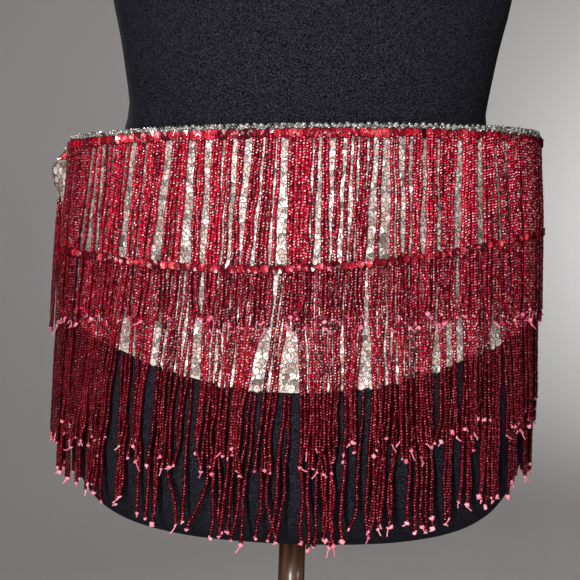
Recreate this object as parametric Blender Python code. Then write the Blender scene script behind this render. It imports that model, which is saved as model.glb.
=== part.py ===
"""A beaded fringe belt, worn on a limbless dress form with a wooden pole and a round foot.

Metres, +Z up. The front of the belt faces -Y and the viewer's right is +X. The origin is on the
floor, under the middle of the foot. Round the belt, an angle of 0 is the middle of the front, a
quarter turn is the side seam at the viewer's right, and minus a quarter turn is the closure.
"""

import random
from collections import namedtuple
from math import ceil, cos, pi, radians, sin

import bmesh
import bpy
import numpy as np
from mathutils import Vector

# Gaps between neighbouring pieces
SEAM_GAP = 0.0003

# The belt is a standing oval tube of stiff beaded cloth, a little smaller at its top than at the hip
CLOTH = 0.0015
HIP_HALF_WIDTH = 0.1773
HIP_HALF_DEPTH = 0.1170
TOP_HALF_WIDTH = 0.1743
TOP_HALF_DEPTH = 0.1130

# A row runs round the belt: its height at the middle of the front and back, how much higher it is at
# the sides, and how much it climbs for each metre towards the viewer's right
Row = namedtuple("Row", "mid_height side_rise climb")
TOP_EDGE = Row(1.0205, 0.0, 0.045)
MIDDLE_ROW = Row(0.9265, 0.022, 0.075)
LOWER_EDGE = Row(0.8380, 0.053, 0.025)

# The front panel runs from the closure to the side seam. The back one runs on from the seam to the
# closure, where its bare end goes on under the front panel
FRONT_ENDS = (radians(-89.0), radians(89.9))
BACK_ENDS = (radians(90.1), radians(270.5))
UNDERLAP = (radians(274.0), radians(278.0))

# The front panel is lifted over the back one's end
LAP_LIFT = 0.0019
LAP_FROM = radians(-60.0)
LAP_FULL = radians(-80.0)

# Just behind the closure the back panel bulges out and sits lower. The shares of the bulge are those
# at the lower edge, the middle row, the bulge's own height and the top edge
BULGE = 0.0125
BULGE_ENDS = (radians(212.0), radians(270.8))
BULGE_PEAK = (radians(255.0), radians(261.0))
BULGE_HEIGHT = 0.985
BULGE_SHARES = (0.0, 0.8, 1.0, 0.4)
SAG = 0.006
SAG_FROM = radians(215.0)
SAG_FULL = radians(262.0)

# Silver bead edging, standing on the top edge of each panel
EDGING_HEIGHT = 0.0032
EDGING_INSIDE = -0.0022
EDGING_OUTSIDE = 0.0008

# Each fringe: the row that carries it, its header strip (drop below the row, height, inner and outer
# face from the cloth's outer face), where its strands hang (inner and outer face), their length at
# the middle of the front and how much longer they are at the sides
Fringe = namedtuple(
    "Fringe",
    "name row drop header_height header_in header_out hang_in hang_out length side_extra",
)
STRIP_HEIGHT = 0.005
FRINGES = (
    Fringe("top", TOP_EDGE, 0.0, STRIP_HEIGHT, 0.0003, 0.0015, 0.0028, 0.0044, 0.130, -0.004),
    Fringe("middle", MIDDLE_ROW, 0.0, STRIP_HEIGHT, 0.0003, 0.0015, 0.0005, 0.0023, 0.131, 0.000),
    Fringe("low", LOWER_EDGE, 0.0003, 0.003, -0.0015, 0.0, -0.0015, -0.0001, 0.100, 0.010),
)
CLEAR_OF_MIDDLE = 0.004

# Strands are built as flat locks, side by side along each header
LOCKS_PER_PANEL = 32
LOCK_SHARE = 0.64
UNEVEN_END = 0.007
SWAY = 0.0012

# The dress form, from its underside to the top of its neck
FORM_BOTTOM = 0.722
FORM_SIDES = 36
RING_STEP = 0.030
Section = namedtuple("Section", "rise half_width front back")
FORM_SECTIONS = (
    Section(0.000, 0.0600, 0.0360, 0.0360),
    Section(0.003, 0.0920, 0.0560, 0.0560),
    Section(0.010, 0.1220, 0.0750, 0.0750),
    Section(0.021, 0.1435, 0.0890, 0.0900),
    Section(0.036, 0.1575, 0.0985, 0.1000),
    Section(0.056, 0.1675, 0.1065, 0.1080),
    Section(0.082, 0.1728, 0.1125, 0.1130),
    Section(0.116, 0.1750, 0.1151, 0.1151),
    Section(0.150, 0.1742, 0.1137, 0.1138),
    Section(0.190, 0.1695, 0.1110, 0.1112),
    Section(0.235, 0.1590, 0.1060, 0.1050),
    Section(0.275, 0.1460, 0.1000, 0.0980),
    Section(0.318, 0.1348, 0.0955, 0.0940),
    Section(0.345, 0.1380, 0.0965, 0.0955),
    Section(0.375, 0.1435, 0.0990, 0.0970),
    Section(0.403, 0.1500, 0.1030, 0.0985),
    Section(0.450, 0.1570, 0.1140, 0.1000),
    Section(0.503, 0.1610, 0.1270, 0.1010),
    Section(0.560, 0.1640, 0.1170, 0.1060),
    Section(0.610, 0.1700, 0.0990, 0.1040),
    Section(0.645, 0.1660, 0.0840, 0.0930),
    Section(0.668, 0.1420, 0.0740, 0.0820),
    Section(0.688, 0.1060, 0.0640, 0.0700),
    Section(0.705, 0.0760, 0.0565, 0.0600),
    Section(0.725, 0.0620, 0.0540, 0.0560),
    Section(0.765, 0.0570, 0.0530, 0.0540),
)

# Turned pieces, as radius and height from the piece's own underside
TURNED_SIDES = 40
Turn = namedtuple("Turn", "radius height")
NECK_CAP = (
    Turn(0.0480, 0.000),
    Turn(0.0520, 0.003),
    Turn(0.0520, 0.009),
    Turn(0.0460, 0.014),
    Turn(0.0200, 0.018),
    Turn(0.0130, 0.024),
    Turn(0.0165, 0.034),
    Turn(0.0150, 0.044),
    Turn(0.0070, 0.050),
)
FOOT = (
    Turn(0.1860, 0.000),
    Turn(0.1900, 0.004),
    Turn(0.1900, 0.016),
    Turn(0.1840, 0.022),
    Turn(0.0600, 0.030),
    Turn(0.0300, 0.038),
    Turn(0.0240, 0.060),
    Turn(0.0200, 0.064),
)
POLE_RADIUS = 0.0100


def clear_scene():
    for thing in list(bpy.data.objects):
        bpy.data.objects.remove(thing, do_unlink=True)


def finish(name, colour, roughness, metallic=0.0):
    made = bpy.data.materials.new(name)
    made.use_nodes = True
    shader = made.node_tree.nodes["Principled BSDF"]
    shader.inputs["Base Color"].default_value = (*colour, 1.0)
    shader.inputs["Roughness"].default_value = roughness
    shader.inputs["Metallic"].default_value = metallic
    return made


def solid(name, points, faces, look):
    """One closed body from its points and faces, with the faces turned outwards."""
    mesh = bpy.data.meshes.new(name)
    mesh.from_pydata([tuple(point) for point in points], [], faces)
    work = bmesh.new()
    work.from_mesh(mesh)
    bmesh.ops.recalc_face_normals(work, faces=work.faces)
    work.to_mesh(mesh)
    work.free()
    mesh.materials.append(look)
    made = bpy.data.objects.new(name, mesh)
    bpy.context.scene.collection.objects.link(made)
    return made


def ease(start, end, value):
    """0 before the start, 1 past the end, and a soft step between; the end may lie below the start."""
    share = min(1.0, max(0.0, (value - start) / (end - start)))
    return share * share * (3.0 - 2.0 * share)


def row_height(row, angle):
    sag = SAG * ease(SAG_FROM, SAG_FULL, angle)
    climb = row.climb * HIP_HALF_WIDTH * sin(angle)
    return row.mid_height + row.side_rise * sin(angle) ** 2 + climb - sag


def bulge(angle, height):
    """How far the back panel stands out behind the closure."""
    swell = ease(BULGE_ENDS[0], BULGE_PEAK[0], angle) * ease(BULGE_ENDS[1], BULGE_PEAK[1], angle)
    low, middle, top = (row_height(row, angle) for row in (LOWER_EDGE, MIDDLE_ROW, TOP_EDGE))
    share = np.interp(height, (low, middle, BULGE_HEIGHT, top), BULGE_SHARES)
    return BULGE * swell * share


def belt_point(angle, height, outward, hung_from=None):
    """A point near the belt, so far outwards from the cloth's outer face. What hangs from a height
    stays as far out as the cloth above it has pushed it."""
    rise = (height - LOWER_EDGE.mid_height) / (TOP_EDGE.mid_height - LOWER_EDGE.mid_height)
    share = max(0.0, rise)
    half_width = HIP_HALF_WIDTH + (TOP_HALF_WIDTH - HIP_HALF_WIDTH) * share
    half_depth = HIP_HALF_DEPTH + (TOP_HALF_DEPTH - HIP_HALF_DEPTH) * share
    pushed_at = height
    if hung_from is not None:
        pushed_at = min(max(height, BULGE_HEIGHT), hung_from)
    out = outward + LAP_LIFT * ease(LAP_FROM, LAP_FULL, angle) + bulge(angle, pushed_at)
    normal = Vector((sin(angle) / half_width, -cos(angle) / half_depth)).normalized()
    x = half_width * sin(angle) + normal.x * out
    y = -half_depth * cos(angle) + normal.y * out
    return Vector((x, y, height))


def angles_between(ends, shares):
    """The angles that lie at these shares of the way along the cloth between two angles."""
    angles = np.linspace(ends[0], ends[1], 721)
    path = np.array([belt_point(angle, MIDDLE_ROW.mid_height, 0.0)[:2] for angle in angles])
    steps = np.linalg.norm(np.diff(path, axis=0), axis=1)
    along = np.concatenate([[0.0], np.cumsum(steps)])
    return np.interp(np.array(shares) * along[-1], along, angles)


def lock_shares():
    """Where locks start and end along a header: a gap, a lock, a gap and so on."""
    shares = [0.0]
    for lock in range(LOCKS_PER_PANEL):
        middle = (lock + 0.5) / LOCKS_PER_PANEL
        half = LOCK_SHARE / 2 / LOCKS_PER_PANEL
        shares += [middle - half, middle + half]
    return shares + [1.0]


def loft(sections):
    """Points and faces of a band with one closed section at each station, the first half of it down
    the outside and the rest up the inside. Its side faces come first, station by station."""
    size = len(sections[0])
    points = [point for section in sections for point in section]
    faces = []
    for station in range(len(sections) - 1):
        here = station * size
        there = here + size
        for corner in range(size):
            after = (corner + 1) % size
            faces.append((here + corner, here + after, there + after, there + corner))
    for start in (0, (len(sections) - 1) * size):
        for corner in range(size // 2 - 1):
            across = size - 1 - corner
            faces.append((start + corner, start + corner + 1, start + across - 1, start + across))
    return points, faces


def bulging_heights(angle):
    """Where a panel that bulges bends between its edges: under the strips that it carries, and at the
    height of the bulge."""
    top, middle = row_height(TOP_EDGE, angle), row_height(MIDDLE_ROW, angle)
    return (top - STRIP_HEIGHT, BULGE_HEIGHT, middle, middle - STRIP_HEIGHT)


def panel(name, angles, look, bends=lambda angle: ()):
    """One cut piece of the yoke, a standing wall of cloth."""
    sections = []
    for angle in angles:
        heights = (row_height(TOP_EDGE, angle), *bends(angle), row_height(LOWER_EDGE, angle))
        outside = [belt_point(angle, height, 0.0) for height in heights]
        inside = [belt_point(angle, height, -CLOTH) for height in reversed(heights)]
        sections.append(outside + inside)
    return solid(name, *loft(sections), look)


def edging(name, angles, look):
    """The bead edging that stands on a panel's top edge."""
    sections = []
    for angle in angles:
        low = row_height(TOP_EDGE, angle) + SEAM_GAP
        top = low + EDGING_HEIGHT
        corners = ((EDGING_OUTSIDE, top), (EDGING_OUTSIDE, low), (EDGING_INSIDE, low), (EDGING_INSIDE, top))
        sections.append([belt_point(angle, height, outward) for outward, height in corners])
    return solid(name, *loft(sections), look)


def hang_levels(fringe, angle, root, end):
    """Height and inner and outer face of a lock at each bend below its root."""
    if fringe.row is not TOP_EDGE:
        return [((root + end) / 2, fringe.hang_in, fringe.hang_out), (end, fringe.hang_in, fringe.hang_out)]
    over_middle = row_height(MIDDLE_ROW, angle) + CLEAR_OF_MIDDLE
    share = (root - BULGE_HEIGHT) / (root - over_middle)
    bend_in = fringe.header_in + (fringe.hang_in - fringe.header_in) * share
    bend_out = fringe.header_out + (fringe.hang_out - fringe.header_out) * share
    return [
        (BULGE_HEIGHT, bend_in, bend_out),
        (over_middle, fringe.hang_in, fringe.hang_out),
        (end, fringe.hang_in, fringe.hang_out),
    ]


def fringe_length(name, angles, fringe, look, rng):
    """A header strip with its locks, which grow out of the strip's underside."""
    sections = []
    for angle in angles:
        top = row_height(fringe.row, angle) - fringe.drop
        low = top - fringe.header_height
        corners = (
            (fringe.header_out, top),
            (fringe.header_out, low),
            (fringe.header_in, low),
            (fringe.header_in, top),
        )
        sections.append([belt_point(angle, height, outward) for outward, height in corners])
    points, faces = loft(sections)
    underside = {4 * cell + 1 for cell in range(1, 2 * LOCKS_PER_PANEL, 2)}
    faces = [face for index, face in enumerate(faces) if index not in underside]
    for lock in range(LOCKS_PER_PANEL):
        left, right = 2 * lock + 1, 2 * lock + 2
        middle = (angles[left] + angles[right]) / 2
        root = row_height(fringe.row, middle) - fringe.drop - fringe.header_height
        length = fringe.length + fringe.side_extra * sin(middle) ** 2
        end = root - length + rng.uniform(-UNEVEN_END, UNEVEN_END)
        sway = rng.uniform(-SWAY, SWAY) / HIP_HALF_WIDTH
        ring = [4 * left + 1, 4 * right + 1, 4 * right + 2, 4 * left + 2]
        levels = hang_levels(fringe, middle, root, end)
        for level, (height, inward, outward) in enumerate(levels):
            shift = sway * (level + 1) / len(levels)
            first = len(points)
            for angle, out in (
                (angles[left], outward),
                (angles[right], outward),
                (angles[right], inward),
                (angles[left], inward),
            ):
                points.append(belt_point(angle + shift, height, out, hung_from=root))
            below = [first, first + 1, first + 2, first + 3]
            for corner in range(4):
                after = (corner + 1) % 4
                faces.append((ring[corner], ring[after], below[after], below[corner]))
            ring = below
        faces.append(tuple(ring))
    return solid(name, points, faces, look)


def form_section(rise):
    """The form's size at a height above its underside, on a smooth curve through its sections."""
    rises = [section.rise for section in FORM_SECTIONS]
    index = min(max(int(np.searchsorted(rises, rise)) - 1, 0), len(rises) - 2)
    low, high = FORM_SECTIONS[index], FORM_SECTIONS[index + 1]
    before = FORM_SECTIONS[max(index - 1, 0)]
    after = FORM_SECTIONS[min(index + 2, len(rises) - 1)]
    span = high.rise - low.rise
    share = (rise - low.rise) / span
    sizes = []
    for column in range(1, 4):
        slope_low = (high[column] - before[column]) / (high.rise - before.rise) * span
        slope_high = (after[column] - low[column]) / (after.rise - low.rise) * span
        sizes.append(
            (2 * share**3 - 3 * share**2 + 1) * low[column]
            + (share**3 - 2 * share**2 + share) * slope_low
            + (3 * share**2 - 2 * share**3) * high[column]
            + (share**3 - share**2) * slope_high
        )
    return sizes


def form_rises():
    rises = [0.0]
    for low, high in zip(FORM_SECTIONS, FORM_SECTIONS[1:]):
        steps = ceil((high.rise - low.rise) / RING_STEP)
        rises += [low.rise + (high.rise - low.rise) * step / steps for step in range(1, steps + 1)]
    return rises


def stacked_rings(name, rings, look):
    """A closed body from rings of points, lowest first, with a flat face at each end."""
    size = len(rings[0])
    points = [point for ring in rings for point in ring]
    faces = []
    for level in range(len(rings) - 1):
        here = level * size
        for side in range(size):
            after = (side + 1) % size
            faces.append((here + side, here + after, here + size + after, here + size + side))
    faces.append(tuple(range(size)))
    faces.append(tuple(range(len(points) - size, len(points))))
    return solid(name, points, faces, look)


def torso(look):
    rings = []
    for rise in form_rises():
        half_width, front, back = form_section(rise)
        ring = []
        for side in range(FORM_SIDES):
            angle = 2 * pi * side / FORM_SIDES
            depth = front if cos(angle) > 0 else back
            ring.append((half_width * sin(angle), -depth * cos(angle), FORM_BOTTOM + rise))
        rings.append(ring)
    return stacked_rings("form_torso", rings, look)


def turned(name, profile, base, look):
    rings = []
    for turn in profile:
        ring = []
        for side in range(TURNED_SIDES):
            angle = 2 * pi * side / TURNED_SIDES
            ring.append((turn.radius * sin(angle), -turn.radius * cos(angle), base + turn.height))
        rings.append(ring)
    return stacked_rings(name, rings, look)


def main():
    clear_scene()
    sequins = finish("silver_sequins", (0.78, 0.75, 0.70), 0.3, 0.6)
    beads = finish("red_beads", (0.45, 0.01, 0.03), 0.2)
    jersey = finish("black_jersey", (0.012, 0.012, 0.016), 0.9)
    wood = finish("dark_wood", (0.05, 0.022, 0.012), 0.4)
    front = list(angles_between(FRONT_ENDS, lock_shares()))
    back = list(angles_between(BACK_ENDS, lock_shares()))
    panel("yoke_front", front, sequins)
    panel("yoke_back", back + list(UNDERLAP), sequins, bulging_heights)
    edging("edging_front", front, sequins)
    edging("edging_back", back, sequins)
    rng = random.Random(7)
    for fringe in FRINGES:
        fringe_length(f"fringe_{fringe.name}_front", front, fringe, beads, rng)
        fringe_length(f"fringe_{fringe.name}_back", back, fringe, beads, rng)
    torso(jersey)
    neck_top = FORM_BOTTOM + FORM_SECTIONS[-1].rise
    turned("form_neck_cap", NECK_CAP, neck_top + SEAM_GAP, wood)
    pole_base = FOOT[-1].height + SEAM_GAP
    pole = (Turn(POLE_RADIUS, 0.0), Turn(POLE_RADIUS, FORM_BOTTOM - SEAM_GAP - pole_base))
    turned("form_pole", pole, pole_base, wood)
    turned("form_base", FOOT, 0.0, wood)


main()
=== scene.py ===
# %% [markdown]
# # A beaded fringe belt on a dress form
#
# The belt is a stiff band of cloth, cut as two panels and covered with silver sequins. Two rows of red
# sequins and the band's curved lower edge each carry a fringe of strung red glass beads. The belt is
# worn on a dress form in black jersey, which stands on a wooden pole with a round foot.
#
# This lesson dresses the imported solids: each soft or beaded solid is replaced by a finer piece in the
# same place, and every surface gets a finish made from nodes.

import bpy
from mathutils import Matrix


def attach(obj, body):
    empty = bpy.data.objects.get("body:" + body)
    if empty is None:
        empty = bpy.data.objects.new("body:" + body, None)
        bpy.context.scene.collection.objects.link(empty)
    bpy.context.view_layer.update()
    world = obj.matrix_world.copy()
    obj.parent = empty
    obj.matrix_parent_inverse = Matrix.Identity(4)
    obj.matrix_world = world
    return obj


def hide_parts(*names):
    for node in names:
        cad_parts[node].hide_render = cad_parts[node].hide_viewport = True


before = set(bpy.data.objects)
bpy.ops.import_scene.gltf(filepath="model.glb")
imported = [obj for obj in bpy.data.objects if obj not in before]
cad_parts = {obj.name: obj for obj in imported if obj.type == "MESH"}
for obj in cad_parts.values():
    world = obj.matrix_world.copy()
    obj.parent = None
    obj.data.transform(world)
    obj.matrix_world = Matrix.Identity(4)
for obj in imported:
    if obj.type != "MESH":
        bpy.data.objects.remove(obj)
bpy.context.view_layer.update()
print("packed nodes:", ", ".join(sorted(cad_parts)))

# %% Load what the lesson needs
from collections import namedtuple
from math import cos, pi, radians, sin, tan

import bpy
import numpy as np
from mathutils import Matrix, Vector

# %% [markdown]
# ## The shape of the band
#
# Everything on the belt is placed by an angle round it, a height, and a distance out from the cloth. An
# angle of 0 is the middle of the front, a quarter turn is the side seam at the viewer's right, and minus
# a quarter turn is the closure. With one function for that, sequins, tapes and strands all follow the
# cloth by themselves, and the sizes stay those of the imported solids.

# %% Sizes of the band
SEAM_GAP = 0.0003
CLOTH = 0.0015
HIP_HALF_WIDTH = 0.1773
HIP_HALF_DEPTH = 0.1170
TOP_HALF_WIDTH = 0.1743
TOP_HALF_DEPTH = 0.1130

# A row round the belt: its height at the middle, its rise at the sides, its climb to the viewer's right
Row = namedtuple("Row", "mid_height side_rise climb")
TOP_EDGE = Row(1.0205, 0.0, 0.045)
MIDDLE_ROW = Row(0.9265, 0.022, 0.075)
LOWER_EDGE = Row(0.8380, 0.053, 0.025)

FRONT_ENDS = (radians(-89.0), radians(89.9))
BACK_ENDS = (radians(90.1), radians(270.5))
UNDERLAP_END = radians(278.0)

LAP_LIFT = 0.0019
LAP_FROM = radians(-60.0)
LAP_FULL = radians(-80.0)

BULGE = 0.0125
BULGE_ENDS = (radians(212.0), radians(270.8))
BULGE_PEAK = (radians(255.0), radians(261.0))
BULGE_HEIGHT = 0.985
BULGE_AT_MIDDLE = 0.8
BULGE_AT_TOP = 0.4
CURL = 0.0116
CURL_ENDS = (radians(248.0), radians(270.8))
CURL_PEAK = (radians(258.0), radians(264.0))
CURL_FROM = 0.971
CURL_FULL = 0.9985
CURL_AT_TOP = 0.5
SAG = 0.006
SAG_FROM = radians(215.0)
SAG_FULL = radians(262.0)


def ease(start, end, value):
    """0 before the start, 1 past the end, and a soft step between; the end may lie below the start."""
    share = np.clip((value - start) / (end - start), 0.0, 1.0)
    return share * share * (3.0 - 2.0 * share)


def row_height(row, angle):
    sag = SAG * ease(SAG_FROM, SAG_FULL, angle)
    climb = row.climb * HIP_HALF_WIDTH * np.sin(angle)
    return row.mid_height + row.side_rise * np.sin(angle) ** 2 + climb - sag


def bulge(angle, height):
    """How far the back panel stands out behind the closure."""
    swell = ease(BULGE_ENDS[0], BULGE_PEAK[0], angle) * ease(BULGE_ENDS[1], BULGE_PEAK[1], angle)
    low, middle, top = (row_height(row, angle) for row in (LOWER_EDGE, MIDDLE_ROW, TOP_EDGE))
    share = BULGE_AT_MIDDLE * ease(low, middle, height)
    share = share + (1.0 - BULGE_AT_MIDDLE) * ease(middle, BULGE_HEIGHT, height)
    share = share - (1.0 - BULGE_AT_TOP) * ease(BULGE_HEIGHT, top, height)
    return BULGE * swell * share


def curl(angle, height):
    """How far the end of the back panel puckers outwards below its top corner."""
    swell = ease(CURL_ENDS[0], CURL_PEAK[0], angle) * ease(CURL_ENDS[1], CURL_PEAK[1], angle)
    share = ease(CURL_FROM, CURL_FULL, height)
    share = share - (1.0 - CURL_AT_TOP) * ease(CURL_FULL, row_height(TOP_EDGE, angle), height)
    return CURL * swell * share


print(f"the band's top edge is {row_height(TOP_EDGE, 0.0):.4f} m up at the front")

# %% [markdown]
# ## Soft creases in the cloth
#
# Sequinned cloth is stiff, so it doesn't fall in folds: it only buckles a little where it bends over the
# hip. A few shallow troughs and ridges are listed, each with an angle, a width and a depth. They
# fade out towards the two edges, which are held by their rows of stitching.

# %% Creases and points on the belt
Crease = namedtuple("Crease", "angle width depth")
CREASES = (
    Crease(radians(-71.0), 0.060, -0.0008),
    Crease(radians(-48.0), 0.090, 0.0007),
    Crease(radians(-22.0), 0.070, -0.0006),
    Crease(radians(9.0), 0.080, 0.0006),
    Crease(radians(37.0), 0.070, -0.0007),
    Crease(radians(66.0), 0.080, 0.0008),
    Crease(radians(128.0), 0.110, -0.0008),
    Crease(radians(171.0), 0.120, 0.0007),
    Crease(radians(206.0), 0.090, -0.0007),
    Crease(radians(243.0), 0.100, 0.0008),
)


def crease_depth(angle, height):
    low, top = row_height(LOWER_EDGE, angle), row_height(TOP_EDGE, angle)
    share = np.clip((height - low) / (top - low), 0.0, 1.0)
    depth = 0.0
    for crease in CREASES:
        depth = depth + crease.depth * np.exp(-(((angle - crease.angle) / crease.width) ** 2))
    return depth * np.sin(pi * share)


UP = np.array([0.0, 0.0, 1.0])


def unit(vectors):
    return vectors / np.linalg.norm(vectors, axis=-1, keepdims=True)


def outward_from(angle):
    """The level direction straight out of the belt."""
    across = np.sin(angle) / HIP_HALF_WIDTH
    forward = -np.cos(angle) / HIP_HALF_DEPTH
    return unit(np.stack([across, forward, np.zeros_like(angle)], axis=-1))


def along_from(out):
    """The level direction along the belt, from a direction out of it."""
    return np.cross(UP, out)


def belt_points(angle, height, outward, hung_from=None):
    """Points near the belt, so far out from the cloth. What hangs from a height stays as far out as the
    cloth above it has pushed it."""
    angle, height, outward = np.broadcast_arrays(
        np.asarray(angle, float), np.asarray(height, float), np.asarray(outward, float)
    )
    rise = (height - LOWER_EDGE.mid_height) / (TOP_EDGE.mid_height - LOWER_EDGE.mid_height)
    share = np.maximum(0.0, rise)
    half_width = HIP_HALF_WIDTH + (TOP_HALF_WIDTH - HIP_HALF_WIDTH) * share
    half_depth = HIP_HALF_DEPTH + (TOP_HALF_DEPTH - HIP_HALF_DEPTH) * share
    pushed_at = height
    if hung_from is not None:
        pushed_at = np.minimum(np.maximum(height, BULGE_HEIGHT), hung_from)
    out = outward + LAP_LIFT * ease(LAP_FROM, LAP_FULL, angle) + bulge(angle, pushed_at)
    out = out + crease_depth(angle, pushed_at) + curl(angle, height)
    normal = outward_from(angle)
    x = half_width * np.sin(angle) + normal[..., 0] * out
    y = -half_depth * np.cos(angle) + normal[..., 1] * out
    return np.stack([x, y, height], axis=-1)


def cloth_length(ends):
    """The length of the cloth between two angles, and a ruler that turns a length into an angle."""
    angles = np.linspace(ends[0], ends[1], 721)
    path = belt_points(angles, MIDDLE_ROW.mid_height, 0.0)
    along = np.concatenate([[0.0], np.cumsum(np.linalg.norm(np.diff(path, axis=0), axis=1))])
    return along[-1], along, angles


def angle_at(ends, share):
    """The angle at a share of the way along the cloth between two angles."""
    total, along, angles = cloth_length(ends)
    return np.interp(np.asarray(share, float) * total, along, angles)


PANELS = {"front": FRONT_ENDS, "back": BACK_ENDS}
for panel_name, panel_ends in PANELS.items():
    print(f"{panel_name} panel: {cloth_length(panel_ends)[0]:.3f} m along the cloth")

# %% [markdown]
# ## Making a piece
#
# Thousands of small beads are far quicker to make as one joined mesh than as objects, so each maker below
# gives plain lists of points and faces, and one helper turns them into a piece. A few numbers can be kept
# on each point for the finishes to read: its tone, which is drawn once for each bead or sequin, its glow,
# painted light for what comes back through a bead from what lies behind, its spark, a painted highlight
# where a bead gathers that light, and its hub, which is high in the middle of a sequin.

# %% One helper for every piece
made_triangles = {}


def add_piece(name, points, face_groups, finish, slot, smooth=True, **marks):
    """A piece from its points and its faces, kept in groups with the same number of corners, with its
    marks, one number on each point."""
    mesh = bpy.data.meshes.new(name)
    points = np.asarray(points, float).reshape(-1, 3)
    mesh.vertices.add(len(points))
    mesh.vertices.foreach_set("co", points.ravel())
    corners = np.concatenate([group.ravel() for group in face_groups])
    sizes = np.concatenate([np.full(len(group), group.shape[1]) for group in face_groups])
    mesh.loops.add(len(corners))
    mesh.loops.foreach_set("vertex_index", corners.astype(np.int32))
    mesh.polygons.add(len(sizes))
    mesh.polygons.foreach_set("loop_start", (np.cumsum(sizes) - sizes).astype(np.int32))
    mesh.update(calc_edges=True)
    mesh.polygons.foreach_set("use_smooth", np.full(len(sizes), smooth))
    for mark, values in marks.items():
        kept = mesh.attributes.new(mark, "FLOAT", "POINT")
        kept.data.foreach_set("value", np.asarray(values, np.float32).ravel())
    mesh.materials.append(finish)
    made = bpy.data.objects.new(name, mesh)
    bpy.context.scene.collection.objects.link(made)
    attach(made, "root")
    made_triangles[name] = int((sizes - 2).sum())
    print(f"{name}: {made_triangles[name]} triangles")
    return made


def wall_faces(stations, size):
    """Faces between neighbouring sections, each a closed line of so many points."""
    station, corner = np.meshgrid(np.arange(stations - 1), np.arange(size), indexing="ij")
    after = (corner + 1) % size
    here = station * size
    there = here + size
    return np.stack([here + corner, here + after, there + after, there + corner], axis=-1).reshape(-1, 4)


def loft_faces(stations, size):
    """Faces of a thin closed band: its walls, and a strip of faces across each end."""
    corner = np.arange(size // 2 - 1)
    across = size - 1 - corner
    start = np.stack([corner, across, across - 1, corner + 1], axis=-1)
    end = (stations - 1) * size + start[:, ::-1]
    return [np.concatenate([wall_faces(stations, size), start, end])]


def band(angles, top, low, levels, inward, outward):
    """Points of a thin upright band between two heights at each angle."""
    shares = np.linspace(0.0, 1.0, levels)
    heights = top[:, None] + (low - top)[:, None] * shares[None, :]
    outside = belt_points(angles[:, None], heights, outward)
    inside = belt_points(angles[:, None], heights[:, ::-1], inward)
    return np.concatenate([outside, inside], axis=1)


# %% [markdown]
# ## Shared shader effects
#
# No two beads of a strand are quite alike, and cloth is never one flat colour. Both effects are needed
# by several finishes, so each is built once as a node group with named inputs, and placed in each
# material with that material's own colours. The first reads the tone kept on each bead or sequin, and
# mixes in painted light: a lit copy by the painted glow, and a painted highlight by the spark mark. The
# second gives cloth and thread a fine speckle and a height to feed a bump.

# %% Node groups
def start_group(name, inputs, outputs):
    group = bpy.data.node_groups.new(name, "ShaderNodeTree")
    for label, kind, value in inputs:
        socket = group.interface.new_socket(label, in_out="INPUT", socket_type=kind)
        socket.default_value = value
    for label, kind in outputs:
        group.interface.new_socket(label, in_out="OUTPUT", socket_type=kind)
    return group, group.nodes.new("NodeGroupInput"), group.nodes.new("NodeGroupOutput")


def node(tree, kind, **settings):
    made = tree.nodes.new(kind)
    for setting, value in settings.items():
        setattr(made, setting, value)
    return made


def mix_colours(tree, share, first, second):
    """A colour between two, each of them a socket or a plain colour."""
    mix = node(tree, "ShaderNodeMix", data_type="RGBA")
    sockets = {mix.inputs["Factor"]: share, mix.inputs[6]: first, mix.inputs[7]: second}
    for socket, value in sockets.items():
        if isinstance(value, bpy.types.NodeSocket):
            tree.links.new(value, socket)
        else:
            socket.default_value = value
    return mix.outputs[2]


def ramp(tree, value, stops):
    made = node(tree, "ShaderNodeValToRGB")
    tree.links.new(value, made.inputs["Fac"])
    while len(made.color_ramp.elements) < len(stops):
        made.color_ramp.elements.new(0.5)
    for element, (position, colour) in zip(made.color_ramp.elements, stops):
        element.position = position
        element.color = colour
    return made.outputs["Color"]


def mark(tree, name):
    """The number kept under a name on each point of a piece."""
    return node(tree, "ShaderNodeAttribute", attribute_name=name).outputs["Fac"]


def own_space(tree):
    return node(tree, "ShaderNodeTexCoord").outputs["Object"]


def noise(tree, place, scale, detail=2.0):
    made = node(tree, "ShaderNodeTexNoise")
    made.inputs["Scale"].default_value = scale
    made.inputs["Detail"].default_value = detail
    tree.links.new(place, made.inputs["Vector"])
    return made


def reckon(tree, operation, first, second):
    """The sum or the product of two sockets."""
    made = node(tree, "ShaderNodeMath", operation=operation)
    tree.links.new(first, made.inputs[0])
    tree.links.new(second, made.inputs[1])
    return made.outputs["Value"]


def add_relief(tree, shader, height, strength, distance):
    """Small bumps on a surface, from a height."""
    relief = node(tree, "ShaderNodeBump")
    relief.inputs["Strength"].default_value = strength
    relief.inputs["Distance"].default_value = distance
    tree.links.new(height, relief.inputs["Height"])
    tree.links.new(relief.outputs["Normal"], shader.inputs["Normal"])


def own_shade_group():
    """A colour for each bead: between deep and bright by its tone, with a painted highlight where its spark
    mark is high, and a lit copy of it all mixed in by the painted glow, for light coming through from behind."""
    colour = "NodeSocketColor"
    parts = ("Deep", "Bright", "Spark")
    lights = ("", " over light")
    inputs = [(part + over, colour, (0.5, 0.5, 0.5, 1)) for over in lights for part in parts]
    group, given, result = start_group("own shade", inputs, [("Colour", colour)])
    tone = mark(group, "tone")
    sparks = ramp(group, mark(group, "spark"), [(0.45, (0, 0, 0, 1)), (0.80, (1, 1, 1, 1))])
    shades = []
    for over in lights:
        deep, bright, point = (given.outputs[part + over] for part in parts)
        shades.append(mix_colours(group, sparks, mix_colours(group, tone, deep, bright), point))
    group.links.new(mix_colours(group, mark(group, "glow"), *shades), result.inputs["Colour"])
    return group


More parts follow.
